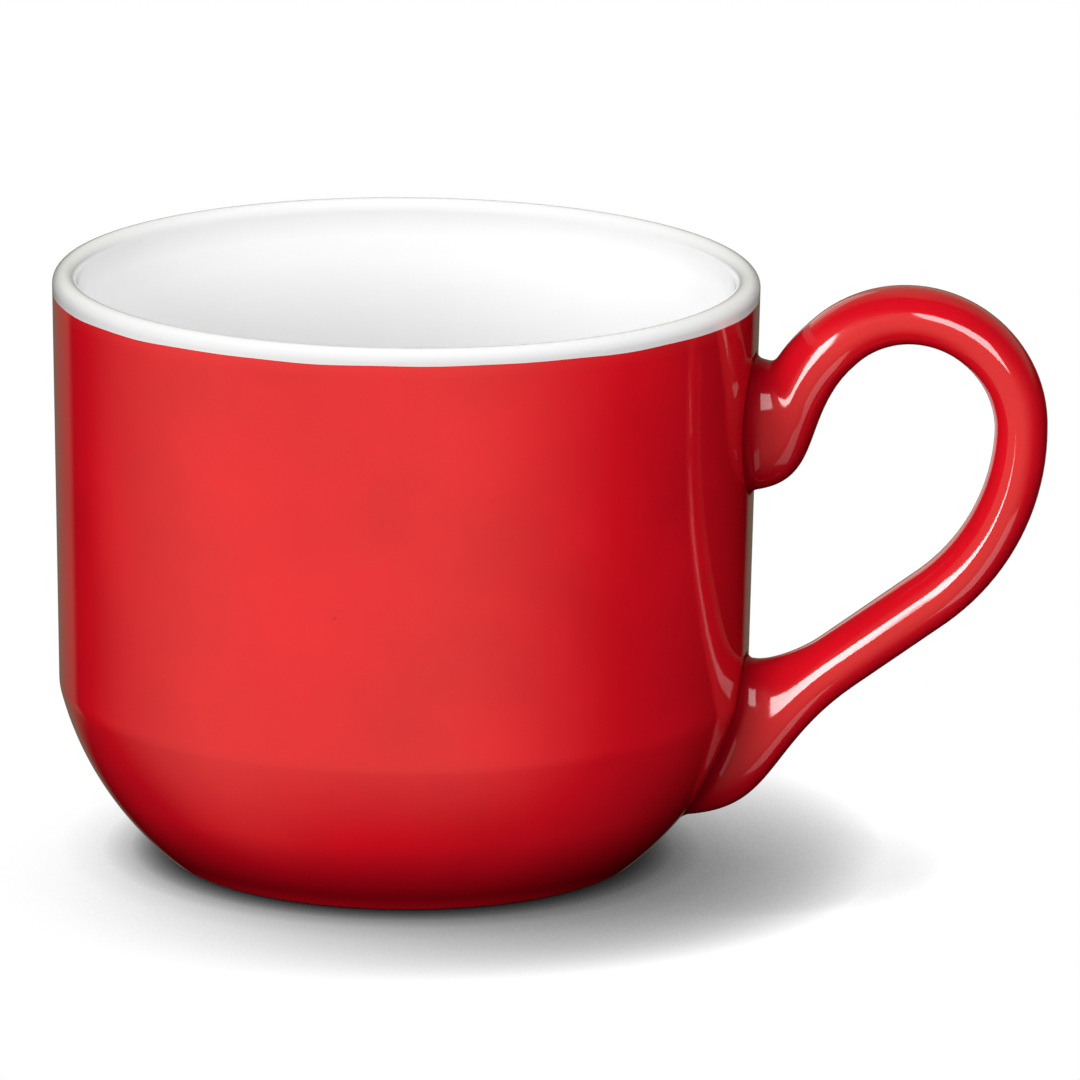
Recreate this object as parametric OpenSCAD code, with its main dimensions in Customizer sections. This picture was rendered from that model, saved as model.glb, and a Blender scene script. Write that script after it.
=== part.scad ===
// Soup mug: a round stoneware cup with a looped handle, white inside and coloured outside.
// The cup's axis is Z, the table is Z 0 and the handle points along +X. Sizes are in millimetres
// and are those of the finished, glazed mug. The clay lies one glaze thickness under them.

/* [Cup] */
// Outside diameter at the lip
rim_d = 108; // [98:1:122]
// Height from the table to the top of the lip
cup_h = 91; // [84:1:110]
// Wall thickness, both glazes included
wall_t = 3.8; // [3:0.1:5]
// Lean of the side wall from upright, in degrees
wall_lean = 1; // [0:0.1:2.5]
// Radius of the soft edge where the side wall turns in
shoulder_r = 8; // [6:0.5:14]
// Angle of the wall at the lower end of that edge, in degrees from upright
shoulder_angle = 15; // [9:1:22]
// Angle of the bowl's wall where it reaches the foot, in degrees from upright
foot_angle = 50; // [45:1:56]
// Diameter of the circle on which the foot's outside meets the table
foot_d = 71; // [62:1:78]
// Rounding of the foot's outer edge
foot_edge_r = 1.9; // [1:0.1:3]
// Width of the foot ring
foot_w = 4.5; // [3:0.5:8]
// Depth of the recess inside the foot ring
recess_h = 2; // [1.5:0.1:4]
// Rounding in the corner of the recess
recess_r = 1.2; // [0.9:0.1:1.4]
// Thickness of the floor above the recess
floor_t = 5; // [3:0.5:8]
// Radius of the blend between floor and wall inside
floor_blend_r = 14; // [9:1:18]

/* [Glaze] */
// Thickness of the glaze
glaze_t = 0.4; // [0.2:0.05:0.5]
// Drop from the top of the lip to the line between the two colours
colour_drop = 2.3; // [2:0.1:8]
// Height of the bare clay strip at the foot
bare_foot_h = 0.6; // [0.6:0.1:1.5]

/* [Handle] */
// How far the handle stands out beyond the lip
handle_reach = 44.6; // [38:0.2:52]
// Height of the handle's top above the lip
handle_rise = 1; // [-5:0.2:9]
// Radius of the upper loop along its middle
loop_r = 17; // [14:0.2:20]
// Radius of the wide bend under the loop along its middle
bend_r = 34; // [28:0.5:40]
// Thickness of the grip at the outermost point, seen from the side
grip_t = 8; // [6:0.1:10]
// Width of the grip across the handle
grip_w = 10; // [7:0.1:13]
// Drop from the top of the lip to the upper root's top edge
upper_root_drop = 12; // [7:0.2:17]
// Length of the upper root along the wall
upper_root_h = 18.9; // [15:0.1:24]
// Height of the lower root's top edge above the table
lower_root_top = 32; // [28:0.2:38]
// Length of the lower root down the bowl
lower_root_h = 23.7; // [18:0.1:25]
// Growth of the handle's section on its way to the cup
root_flare = 1; // [0.8:0.1:2.5]
// Round fillet at the sides of the roots
side_fillet = 2.4; // [1:0.1:3]
// Round fillet above and below the roots
end_fillet = 0.7; // [0.4:0.1:1.5]

/* [Hidden] */
$fn = 96;

clay_colour = [0.87, 0.83, 0.76];
slip_colour = [0.80, 0.75, 0.67];
white_colour = [0.95, 0.95, 0.96];
red_colour = [0.82, 0.10, 0.10];

// Room by which a cut passes the faces that it cuts
overrun = 3;
// A rounding stands this far proud of the faces beside it and turns on past them by this many degrees,
// so that it crosses them and leaves no sliver
seam_lap = 0.002;
seam_turn = 10;

// Lip: a full round whose ends run into the leaning wall
lip_r = wall_t / 2;
lip_centre = [rim_d / 2 - lip_r, cup_h - lip_r];
wall_normal = [cos(wall_lean), -sin(wall_lean)];

// Side wall and bowl: a leaning line, the shoulder arc, the bowl arc and the foot's edge run into
// each other. The bowl's radius and the shoulder's height follow from the sizes at both ends.
foot_r = foot_d / 2;
lip_side = lip_centre + lip_r * wall_normal;
turn_rise = shoulder_r * (sin(shoulder_angle) - sin(wall_lean)) + foot_edge_r * (1 - sin(foot_angle));
bowl_rise_share = sin(foot_angle) - sin(shoulder_angle);
bowl_run_share = cos(shoulder_angle) - cos(foot_angle) - tan(wall_lean) * bowl_rise_share;
shoulder_run = shoulder_r * (cos(wall_lean) - cos(shoulder_angle));
lean_run = tan(wall_lean) * (lip_side[1] - turn_rise);
bowl_r = (lip_side[0] - lean_run - shoulder_run - foot_edge_r * cos(foot_angle) - foot_r) / bowl_run_share;
shoulder_z = turn_rise + bowl_r * bowl_rise_share;
foot_centre = [foot_r, foot_edge_r];
bowl_centre = foot_centre - (bowl_r - foot_edge_r) * outward(foot_angle);
shoulder_centre = bowl_centre + (bowl_r - shoulder_r) * outward(shoulder_angle);

// Inside: the wall keeps its thickness down to the blend, which runs into a flat floor
floor_z = recess_h + floor_t;
blend_gap = bowl_r - wall_t - floor_blend_r;
blend_angle = asin((bowl_centre[1] - floor_z - floor_blend_r) / blend_gap);
blend_centre = bowl_centre + blend_gap * outward(blend_angle);

// Foot ring and recess
recess_side = foot_r - foot_w;
colour_z = cup_h - colour_drop;

// Handle: its upper end keeps its place under the lip, and its lower end keeps its place on the bowl.
// The thickness swells from the outermost point towards both ends.
handle_top = cup_h + handle_rise;
upper_root_top = cup_h - upper_root_drop;
grip_top_share = 1.12;
grip_rise_share = 1.19;
grip_arm_share = 1.15;
top_t = grip_t * grip_top_share;
rise_t = grip_t * grip_rise_share;
arm_t = grip_t * grip_arm_share;
loop_centre = [
    rim_d / 2 + handle_reach - grip_t / 2 - loop_r,
    handle_top - top_t / 2 - loop_r
];
bend_centre = loop_centre + [loop_r - bend_r, 0];

// Where the loop leaves the rising arm, and where the bend runs into the straight lower arm, degrees
rise_angle = 132;
arm_angle = -53;
rise_way = [-sin(rise_angle), cos(rise_angle)];
arm_way = [sin(arm_angle), -cos(arm_angle)];

// Distance from the wall at which the lower arm starts to widen into its root
lower_root_run = 13;
bend_end = bend_centre + bend_r * around(arm_angle);
arm_run = (bend_end[0] - rim_d / 2 - lower_root_run) / sin(-arm_angle);

// Pull of each root edge on leaving the arm and on reaching the wall
upper_top_pull = [11, 5];
upper_low_pull = [12, 11.5];
lower_top_pull = [4, 2.5];
lower_low_pull = [17, 13.5];

// Room between the glazed wall and the ends of the handle
seat_clearance = 0.03;

// Roundness of the handle's section: 1 is an ellipse, and smaller is squarer
section_share = 1;
// How fast the root's flare dies away from the wall
flare_power = 5;
// The slip under each root stays this far inside the root's outline
slip_margin = 0.7;

// Sizes of the smaller sections that close the handle's ends
end_shares = [0.3, 0.66];

section_sides = 24;
root_steps = 18;
loop_steps = 14;
bend_steps = 8;
arm_steps = 2;

// Direction out of the cup, turned down from level by an angle
function outward(angle) = [cos(angle), -sin(angle)];

// Direction at an angle round a centre in the handle's plane
function around(angle) = [cos(angle), sin(angle)];

// Point on a curve that leaves a along one way and reaches b along another
function curve(a, a_pull, b, b_pull, t) =
    a * pow(1 - t, 3)
    + (a + a_pull) * 3 * t * pow(1 - t, 2)
    + (b + b_pull) * 3 * t * t * (1 - t)
    + b * pow(t, 3);

// Radius of the finished outside at a height
function outside_r(z) =
    z > shoulder_z
    ? lip_side[0] - tan(wall_lean) * (lip_side[1] - z)
    : let (shoulder_low = shoulder_centre[1] - shoulder_r * sin(shoulder_angle))
      z > shoulder_low
      ? shoulder_centre[0] + sqrt(pow(shoulder_r, 2) - pow(z - shoulder_centre[1], 2))
      : bowl_centre[0] + sqrt(pow(bowl_r, 2) - pow(z - bowl_centre[1], 2));

// Power of a number that keeps its sign
function signed_power(x, power) = sign(x) * pow(abs(x), power);

// Slice of a disc between two angles below level
module slice(centre, radius, from_angle, to_angle) {
    reach = radius / cos((to_angle - from_angle) / 2) + overrun;
    intersection() {
        translate(centre)
            circle(radius);
        polygon([
            centre,
            centre + reach * outward(to_angle),
            centre + reach * outward((from_angle + to_angle) / 2),
            centre + reach * outward(from_angle)
        ]);
    }
}

// Slice of a rounding that runs into the faces beside it
module rounding(centre, radius, from_angle, to_angle) {
    slice(centre, radius + seam_lap, from_angle - seam_turn, to_angle + seam_turn);
}

// Half section of the cup's solid outside, a depth under the finished face
module outside(depth) {
    wall_top = lip_centre + (lip_r - depth) * wall_normal;
    intersection() {
        union() {
            polygon([
                [0, -overrun],
                [foot_r, -overrun],
                foot_centre,
                bowl_centre + (bowl_r - depth) * outward(foot_angle),
                shoulder_centre + (shoulder_r - depth) * outward(shoulder_angle),
                shoulder_centre + (shoulder_r - depth) * wall_normal,
                wall_top,
                lip_centre,
                [0, lip_centre[1]]
            ]);
            rounding(shoulder_centre, shoulder_r - depth, wall_lean, shoulder_angle);
            slice(bowl_centre, bowl_r - depth, shoulder_angle, foot_angle);
            rounding(foot_centre, foot_edge_r - depth, foot_angle, 90);
        }
        translate([0, depth])
            square([rim_d, cup_h]);
    }
}

// Half section of the cup's hollow, a depth under the finished outside
module hollow(depth) {
    under_face = wall_t - depth;
    blend_r = floor_blend_r + under_face;
    wall_top = lip_centre + (lip_r - depth) * wall_normal;
    polygon([
        [0, floor_z - under_face],
        blend_centre - [0, blend_r],
        bowl_centre + (bowl_r - depth) * outward(blend_angle),
        shoulder_centre + (shoulder_r - depth) * outward(shoulder_angle),
        shoulder_centre + (shoulder_r - depth) * wall_normal,
        wall_top,
        [0, wall_top[1]]
    ]);
    rounding(shoulder_centre, shoulder_r - depth, wall_lean, shoulder_angle);
    slice(bowl_centre, bowl_r - depth, shoulder_angle, blend_angle);
    rounding(blend_centre, blend_r, blend_angle, 90);
}

// Half section of the recess inside the foot ring, a depth out of the clay
module recess(depth) {
    corner = [recess_side - recess_r, recess_h - recess_r];
    translate([0, -overrun])
        square([recess_side - depth, overrun + corner[1]]);
    translate([0, -overrun])
        square([corner[0], overrun + recess_h - depth]);
    translate(corner)
        circle(recess_r - depth + seam_lap);
}

// Half section of the wall and floor without the recess, a depth under every finished face
module wall_section(depth) {
    difference() {
        outside(depth);
        hollow(wall_t - depth);
    }
    translate(lip_centre)
        circle(lip_r - depth + seam_lap);
}

// Half section of the bare strip at the foot, where the clay comes out to the finished face
module bare_strip() {
    square([rim_d, bare_foot_h]);
}

// Half section of all the glaze on the cup above the foot
module cup_glaze_section() {
    difference() {
        wall_section(0);
        wall_section(glaze_t);
        bare_strip();
    }
}

// Everything above the line between the colours
module above_colour_line() {
    translate([0, colour_z])
        square([rim_d, colour_drop + overrun]);
}

// Half section of the coloured glaze on the outside
module outer_section() {
    difference() {
        cup_glaze_section();
        hollow(lip_r);
        above_colour_line();
    }
}

// Prism along +X through a root's footprint, with round ends
module root_window(root_top, root_h) {
    radius = grip_w / 2 - slip_margin;
    low = root_top - root_h + slip_margin;
    high = root_top - slip_margin;
    rotate([90, 0, 90])
        linear_extrude(rim_d) {
            translate([0, low + radius])
                circle(radius);
            translate([0, high - radius])
                circle(radius);
            translate([-radius, low + radius])
                square([2 * radius, high - low - 2 * radius]);
        }
}

// The luting slip under one root fills that root's window in the outer glaze
module slip_joint(root_top, root_h) {
    intersection() {
        rotate_extrude()
            outer_section();
        root_window(root_top, root_h);
    }
}

// Stations along the handle: outer edge, inner edge and nearness to the wall, from 1 at the wall to 0
upper_ends = [
    [outside_r(upper_root_top), upper_root_top],
    [outside_r(upper_root_top - upper_root_h), upper_root_top - upper_root_h]
];
lower_ends = [
    [outside_r(lower_root_top - lower_root_h), lower_root_top - lower_root_h],
    [outside_r(lower_root_top), lower_root_top]
];

function edge_pair(centre, radius, thickness, angle) = [
    centre + (radius + thickness / 2) * around(angle),
    centre + (radius - thickness / 2) * around(angle)
];

function mix(a, b, t) = a + (b - a) * t;

loop_start = edge_pair(loop_centre, loop_r, rise_t, rise_angle);
bend_last = edge_pair(bend_centre, bend_r, arm_t, arm_angle);
arm_last = [for (edge = bend_last) edge + arm_run * arm_way];

function upper_root(t) = [
    curve(upper_ends[0], [upper_top_pull[1], 0], loop_start[0], upper_top_pull[0] * rise_way, t),
    curve(upper_ends[1], [upper_low_pull[1], 0], loop_start[1], upper_low_pull[0] * rise_way, t),
    1 - t
];

function lower_root(t) = [
    curve(arm_last[0], lower_low_pull[0] * arm_way, lower_ends[0], [lower_low_pull[1], 0], t),
    curve(arm_last[1], lower_top_pull[0] * arm_way, lower_ends[1], [lower_top_pull[1], 0], t),
    t
];

function upper_loop(angle) =
    let (thickness = angle > 90
        ? mix(top_t, rise_t, (angle - 90) / (rise_angle - 90))
        : mix(grip_t, top_t, angle / 90))
    concat(edge_pair(loop_centre, loop_r, thickness, angle), 0);

function lower_bend(angle) =
    concat(edge_pair(bend_centre, bend_r, mix(grip_t, arm_t, angle / arm_angle), angle), 0);

function lower_arm(t) = [
    bend_last[0] + t * arm_run * arm_way,
    bend_last[1] + t * arm_run * arm_way,
    0
];

stations = concat(
    [for (k = [0 : root_steps - 1]) upper_root(pow(k / root_steps, 2))],
    [for (k = [0 : loop_steps - 1]) upper_loop(rise_angle * (1 - k / loop_steps))],
    [for (k = [0 : bend_steps - 1]) lower_bend(arm_angle * k / bend_steps)],
    [for (k = [0 : arm_steps - 1]) lower_arm(k / arm_steps)],
    [for (k = [0 : root_steps]) lower_root(1 - pow(1 - k / root_steps, 2))]
);

// Straight line between a root's two ends on the wall, at a share from its middle
function chord_r(station, share) =
    mix(outside_r(station[1][1]), outside_r(station[0][1]), (share + 1) / 2);

// How far a round fillet reaches along the wall, at a distance from the wall
function fillet_reach(radius, distance) =
    distance < radius
    ? radius - sqrt(pow(radius, 2) - pow(radius - max(distance, 0), 2))
    : 0;

// Spread of the section at an angle: the flare and the round fillet that meets the wall
function root_spread(station, angle) =
    let (
        near = station[2],
        share = signed_power(cos(angle), section_share),
        edge_x = mix(station[1][0], station[0][0], (share + 1) / 2),
        radius = mix(end_fillet, side_fillet, pow(sin(angle), 2))
    )
    near > 0
    ? root_flare * pow(near, flare_power) + fillet_reach(radius, edge_x - chord_r(station, share))
    : 0;

// Point of a section, a depth under the handle's finished face and at a share of the section's size.
// Near the wall the section spreads and bows to follow the wall's own curve.
function section_point(station, depth, size_share, angle) =
    let (
        near = station[2],
        spread = root_spread(station, angle) - depth,
        middle = (station[0] + station[1]) / 2,
        half = (station[0] - station[1]) / 2,
        across_share = size_share * signed_power(sin(angle), section_share),
        along_share = size_share * (1 + spread / norm(half)) * signed_power(cos(angle), section_share),
        across = (grip_w / 2 + spread) * across_share,
        flat = middle + along_share * half,
        wall_x = sqrt(pow(outside_r(flat[1]), 2) - pow(across, 2)) + seat_clearance
    )
    [flat[0] + near * near * (wall_x - chord_r(station, along_share)), across, flat[1]];

function section(station, depth, size_share = 1) = [
    for (k = [0 : section_sides - 1])
        section_point(station, depth, size_share, 360 * k / section_sides)
];

// All the sections of the handle, in order
function sections(depth) = [for (station = stations) section(station, depth)];

// Smaller sections that close an end of the handle along the wall, from the middle outwards
function end_sections(station, depth) = [
    for (size_share = end_shares)
        section(station, depth, size_share)
];

function joined(lists) = [for (list = lists) each list];

// Faces of the tube through a count of sections, from a first point number, wound outward or inward
function tube_faces(count, first, inward) = [
    for (s = [0 : count - 2], k = [0 : section_sides - 1])
        let (
            a = first + s * section_sides + k,
            b = first + s * section_sides + (k + 1) % section_sides,
            c = b + section_sides,
            d = a + section_sides
        )
        each inward ? [[a, c, b], [a, d, c]] : [[a, b, c], [a, c, d]]
];

// Solid through all the sections, closed along the wall at both ends
module handle_core(depth) {
    upper_end = end_sections(stations[0], depth);
    lower_end = end_sections(stations[len(stations) - 1], depth);
    rings = concat(upper_end, sections(depth), [for (k = [len(end_shares) - 1 : -1 : 0]) lower_end[k]]);
    last = (len(rings) - 1) * section_sides;
    polyhedron(
        joined(rings),
        concat(
            tube_faces(len(rings), 0, false),
            [[for (k = [section_sides - 1 : -1 : 0]) k]],
            [[for (k = [0 : section_sides - 1]) last + k]]
        )
    );
}

// Skin between the finished face and the clay, open at both ends
module handle_skin(depth) {
    under = len(stations) * section_sides;
    last = under - section_sides;
    polyhedron(
        joined(concat(sections(0), sections(depth))),
        concat(
            tube_faces(len(stations), 0, false),
            tube_faces(len(stations), under, true),
            [for (k = [0 : section_sides - 1], end = [0, last])
                let (
                    a = end + k,
                    b = end + (k + 1) % section_sides,
                    c = b + under,
                    d = a + under
                )
                each end == 0 ? [[a, c, b], [a, d, c]] : [[a, b, c], [a, c, d]]]
        )
    );
}

module stoneware_body() {
    color(clay_colour)
        rotate_extrude()
            difference() {
                union() {
                    wall_section(glaze_t);
                    intersection() {
                        wall_section(0);
                        bare_strip();
                    }
                }
                recess(0);
            }
}

module liner_glaze() {
    color(white_colour)
        rotate_extrude()
            intersection() {
                cup_glaze_section();
                union() {
                    hollow(lip_r);
                    above_colour_line();
                }
            }
}

module outer_glaze() {
    color(red_colour)
        difference() {
            rotate_extrude()
                outer_section();
            root_window(upper_root_top, upper_root_h);
            root_window(lower_root_top, lower_root_h);
        }
}

module base_glaze() {
    color(red_colour)
        rotate_extrude()
            difference() {
                recess(0);
                recess(glaze_t);
                translate([0, -overrun])
                    square([foot_r, overrun + bare_foot_h]);
            }
}

module upper_slip_joint() {
    color(slip_colour)
        slip_joint(upper_root_top, upper_root_h);
}

module lower_slip_joint() {
    color(slip_colour)
        slip_joint(lower_root_top, lower_root_h);
}

module handle() {
    color(clay_colour)
        handle_core(glaze_t);
}

module handle_glaze() {
    color(red_colour)
        handle_skin(glaze_t);
}

stoneware_body();
handle();
upper_slip_joint();
lower_slip_joint();
liner_glaze();
outer_glaze();
handle_glaze();
base_glaze();
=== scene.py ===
"""Soup mug: glazes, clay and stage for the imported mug. Lengths are in metres in the part's own frame."""
import math
import random

import bpy
from bpy.props import FloatProperty, FloatVectorProperty, IntProperty, PointerProperty
from mathutils import Matrix, Quaternion, Vector


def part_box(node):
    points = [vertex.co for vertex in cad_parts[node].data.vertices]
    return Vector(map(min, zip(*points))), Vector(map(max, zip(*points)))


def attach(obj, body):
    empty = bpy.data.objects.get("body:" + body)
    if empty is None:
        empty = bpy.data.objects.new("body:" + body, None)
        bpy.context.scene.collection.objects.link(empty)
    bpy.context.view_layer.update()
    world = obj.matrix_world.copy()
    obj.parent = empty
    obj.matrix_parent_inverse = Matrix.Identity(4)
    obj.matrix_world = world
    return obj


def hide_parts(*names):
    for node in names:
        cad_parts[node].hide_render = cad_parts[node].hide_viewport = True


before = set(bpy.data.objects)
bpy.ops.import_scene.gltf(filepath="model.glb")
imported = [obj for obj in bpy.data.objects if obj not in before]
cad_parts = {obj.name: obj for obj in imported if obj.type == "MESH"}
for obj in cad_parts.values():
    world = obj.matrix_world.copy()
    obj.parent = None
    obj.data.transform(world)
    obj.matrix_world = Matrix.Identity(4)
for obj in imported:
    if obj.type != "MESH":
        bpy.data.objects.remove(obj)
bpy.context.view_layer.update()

bl_info = {
    "name": "Soup mug",
    "version": (1, 0, 0),
    "blender": (4, 5, 0),
    "location": "View3D > Sidebar > Mug",
    "description": "Builds the glazes, the clay finish and the stage of a stoneware soup mug",
    "category": "Object",
}

LINER_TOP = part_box("liner_glaze")[1]
HANDLE_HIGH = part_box("handle_glaze")[1]
BOX_MARGIN = 0.00001

# Fineness of the meshes: steps along each stretch, on the side that shows and on the clay's side
SHOWN_STEPS, HIDDEN_STEPS = 16, 10
SHOWN_LIP_STEPS, HIDDEN_LIP_STEPS = 28, 12
SHOWN_HEM_STEPS, HIDDEN_HEM_STEPS = 3, 2
SHOWN_WALL_STEPS, HIDDEN_WALL_STEPS = 30, 6
ROOT_STEPS, LOOP_STEPS, BEND_STEPS, ARM_STEPS = 40, 36, 20, 8
SHARP_ANGLE = math.radians(38)
ON_AXIS = 1e-9

# How far the handle's outer and inner edges run straight on from both ends of a root before they turn
UPPER_ROOT_PULLS = (0.005, 0.0115)
LOOP_START_PULLS = (0.011, 0.012)
ARM_END_PULLS = (0.017, 0.004)
LOWER_ROOT_PULLS = (0.0135, 0.0025)

# Where the glaze lies thin and where it has run together, as gains and shares of the full effect. The
# darkening at the foot and in the fillets is partly glaze run together and partly painted shade, over the
# roots it is a painted shadow, and the white lip's thinning is partly painted shade
LIP_THIN_SHADE_GAIN = 1.6
LINE_THIN_SHARE = 0.5
FOOT_POOL_SHADE_GAIN = 1.3
FOOT_FILM_SHARE = 0.4
FILLET_POOL_SHADE_GAIN = 2
ROOT_SHADE_SHARE = 0.95
SEAT_SHADE_SHARE = 0.8
GLAZE_RIPPLE = 0.000012
CLAY_TOOTH = 0.00004

# Stage sizes
LAMP_AIM = Vector((0, 0, 0.05))
FLOOR_HALF = 4
FLOOR_GAP = 0.00002
CAST_LEAN, CAST_HEADING = math.radians(78), math.radians(-120)

# Reach and depth of the shadow that the mug casts and of its contact shadow
CAST_SHADE = (0.03, 1.7)
CONTACT_SHADES = ((0.0038, 0.6), (0.007, 0.5), (0.012, 0.22))


# Settings that a user would change

def length(name, description, default):
    return FloatProperty(name=name, description=description, default=default, unit="LENGTH", precision=5)


def angle(name, description, degrees):
    return FloatProperty(name=name, description=description, default=math.radians(degrees), subtype="ANGLE")


def share(name, description, default):
    return FloatProperty(name=name, description=description, default=default, precision=3)


def power(name, description, default):
    return FloatProperty(name=name, description=description, default=default, min=0)


def colour(name, description, default):
    return FloatVectorProperty(
        name=name, description=description, default=default, size=3, subtype="COLOR", min=0, max=1
    )


class MugCupSettings(bpy.types.PropertyGroup):
    """Sizes of the cup"""

    rim_diameter: length("Rim diameter", "Outside diameter at the lip", 2 * LINER_TOP.x)
    height: length("Height", "From the table to the top of the lip", LINER_TOP.z)
    wall: length("Wall", "Wall thickness with both glazes", 0.0038)
    wall_lean: angle("Wall lean", "Lean of the side wall from upright", 1)
    shoulder_radius: length("Shoulder radius", "Soft edge where the side wall turns in", 0.008)
    shoulder_angle: angle("Shoulder angle", "Angle of the wall at the low end of the shoulder", 15)
    foot_angle: angle("Foot angle", "Angle of the bowl where it reaches the foot", 50)
    foot_diameter: length("Foot diameter", "Circle on which the foot's outside stands", 0.071)
    foot_edge: length("Foot edge", "Rounding of the foot's outer edge", 0.0019)
    floor_height: length("Floor height", "Height of the floor inside", 0.007)
    floor_blend: length("Floor blend", "Radius between the floor and the wall inside", 0.014)
    glaze: length("Glaze", "Thickness of the glaze", 0.0004)
    bare_foot: length("Bare foot", "Height at which the glaze's clay side ends at the foot", 0.0006)
    colour_drop: length("Colour drop", "From the lip's top to the line between the colours", 0.0023)
    line_dip: length("Line dip", "How much lower the colour line runs at the sides", 0.0007)
    # Height up to which the foot is darkened: glaze run together there, and painted shade of the bowl's
    # underside
    pool_shade_height: length("Pool height", "Up to which the red glaze has run together at the foot", 0.013)
    line_turn: angle("Line turn", "Where round the cup the colour line runs highest", -81)
    line_ripple: length("Line ripple", "Small unevenness of the brushed colour line", 0.00006)
    line_fade: length("Line fade", "How far below the colour line the red glaze is thin", 0.0006)
    # Reach of the white lip's darkening: thin glaze, and painted shade on the lip's top
    lip_fade: length("Lip fade", "How far below the lip the white glaze starts to thin", 0.0065)
    film_height: length("Film height", "Over which the red glaze thins out at the foot", 0.004)
    foot_margin: length("Foot margin", "Height at which the thin glaze film ends at the foot", 0.00015)
    foot_film: length("Foot film", "Thickness of the glaze film over the foot's edge", 0.00002)
    segments: IntProperty(name="Segments", description="Steps round the cup", default=224, min=48)


class MugHandleSettings(bpy.types.PropertyGroup):
    """Sizes of the handle"""

    reach: length("Reach", "Outermost point, from the cup's axis", HANDLE_HIGH.x)
    top: length("Top", "Highest point above the table", HANDLE_HIGH.z - BOX_MARGIN)
    width: length("Width", "Width of the grip across the handle", 0.010)
    thickness: length("Thickness", "Thickness of the grip at its outermost point", 0.008)
    top_share: share("Top share", "Thickness at the top of the loop, as a share of the grip", 1.12)
    rise_share: share("Rise share", "Thickness of the rising arm, as a share of the grip", 1.19)
    arm_share: share("Arm share", "Thickness of the lower arm, as a share of the grip", 1.15)
    loop_radius: length("Loop radius", "Upper loop along its middle", 0.017)
    bend_radius: length("Bend radius", "Wide bend under the loop along its middle", 0.034)
    rise_angle: angle("Rise angle", "Where the loop leaves the rising arm", 132)
    arm_angle: angle("Arm angle", "Where the bend runs into the lower arm", -53)
    upper_root_top: length("Upper root top", "Top edge of the upper root", 0.079)
    upper_root: length("Upper root", "Length of the upper root along the wall", 0.0189)
    lower_root_top: length("Lower root top", "Top edge of the lower root", 0.032)
    lower_root: length("Lower root", "Length of the lower root down the bowl", 0.0237)
    lower_root_run: length("Lower root run", "Distance at which the lower arm starts to widen", 0.013)
    root_flare: length("Root flare", "Growth of the section on its way to the cup", 0.001)
    side_fillet: length("Side fillet", "Round fillet at the sides of the roots", 0.0026)
    end_fillet: length("End fillet", "Round fillet above and below the roots", 0.0009)
    seat_sink: length("Seat sink", "How deep the glaze's edge lies in the cup's glaze", 0.00001)
    sides: IntProperty(name="Sides", description="Points round the handle's section", default=64, min=16)


class MugGlazeSettings(bpy.types.PropertyGroup):
    """Colours of the glazes and the clay"""

    red: colour("Red", "Red glaze at its usual thickness", (0.76, 0.0062, 0.0165))
    # Dark red of glaze run together, also used as painted shade at the foot, in the fillets and over the
    # handle's roots
    red_pooled_and_shade: colour("Red pooled", "Red glaze where it has run together", (0.26, 0.0008, 0.0060))
    red_thin: colour("Red thin", "Red glaze where it is thin", (0.78, 0.020, 0.026))
    white: colour("White", "White glaze at its usual thickness", (0.85, 0.85, 0.852))
    white_pooled: colour("White pooled", "White glaze where it has run together", (0.82, 0.822, 0.828))
    # Grey of thin white glaze, also painted shade on the lip's top
    white_thin_and_shade: colour("White thin", "White glaze where it is thin", (0.66, 0.66, 0.662))
    clay: colour("Clay", "Bare fired clay", (0.60, 0.52, 0.42))
    clay_speck: colour("Clay speck", "Dark grains in the clay", (0.30, 0.23, 0.17))
    slip: colour("Slip", "Fired slip under the roots", (0.52, 0.45, 0.36))


class MugStageSettings(bpy.types.PropertyGroup):
    """Camera and light"""

    camera_turn: angle("Camera turn", "Camera's place round the mug, from straight at the side", 9)
    camera_rise: angle("Camera rise", "Camera's height as an angle", 14.18)
    camera_distance: length("Camera distance", "From the point aimed at", 1.8409)
    aim_height: length("Aim height", "Point on the axis that the camera circles", 0.0432)
    aim_yaw: angle("Aim yaw", "Turn of the camera to its left", -0.646)
    aim_pitch: angle("Aim pitch", "Turn of the camera upward", 0.171)
    aim_roll: angle("Aim roll", "Turn of the camera about its own view", -0.391)
    lens: FloatProperty(name="Lens", description="Focal length in millimetres", default=400, min=20)
    key_power: power("Key power", "Main lamp in watts", 15.1)
    side_power: power("Side power", "Weak lamp on the right in watts", 2.6)
    liner_power: power("Liner power", "Lamp for the cup's inside in watts", 13.4)
    far_power: power("Far power", "Lamp for the cup's far side in watts", 9)
    edge_power: power("Edge power", "Weak lamp on the cup's left in watts", 1.6)
    lip_power: power("Lip power", "Lamp for the lip's far left in watts", 9)
    rim_power: power("Rim power", "Lamp behind the handle in watts", 3)
    arm_box_power: power("Arm box power", "Strip mirrored along the handle's arm in watts", 8.2)
    loop_box_power: power("Loop box power", "Soft box mirrored in the handle's loop in watts", 19)
    card_box_power: power("Card box power", "Low card mirrored under the handle in watts", 2.1)
    back_box_power: power("Back box power", "Soft box mirrored in the handle's back in watts", 5)
    room_light: power("Room light", "Strength of the even light from above", 0.18)


class MugSettings(bpy.types.PropertyGroup):
    """All settings of the mug"""

    cup: PointerProperty(type=MugCupSettings)
    handle: PointerProperty(type=MugHandleSettings)
    glaze: PointerProperty(type=MugGlazeSettings)
    stage: PointerProperty(type=MugStageSettings)


# Shapes

def outward(turn):
    """Direction out of the cup in its half section, turned down from level."""
    return Vector((math.cos(turn), -math.sin(turn)))


def around(turn):
    """Direction at an angle in the handle's plane."""
    return Vector((math.cos(turn), math.sin(turn)))


def mix(a, b, t):
    return a + (b - a) * t


def steps(count):
    return [k / count for k in range(count + 1)]


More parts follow.
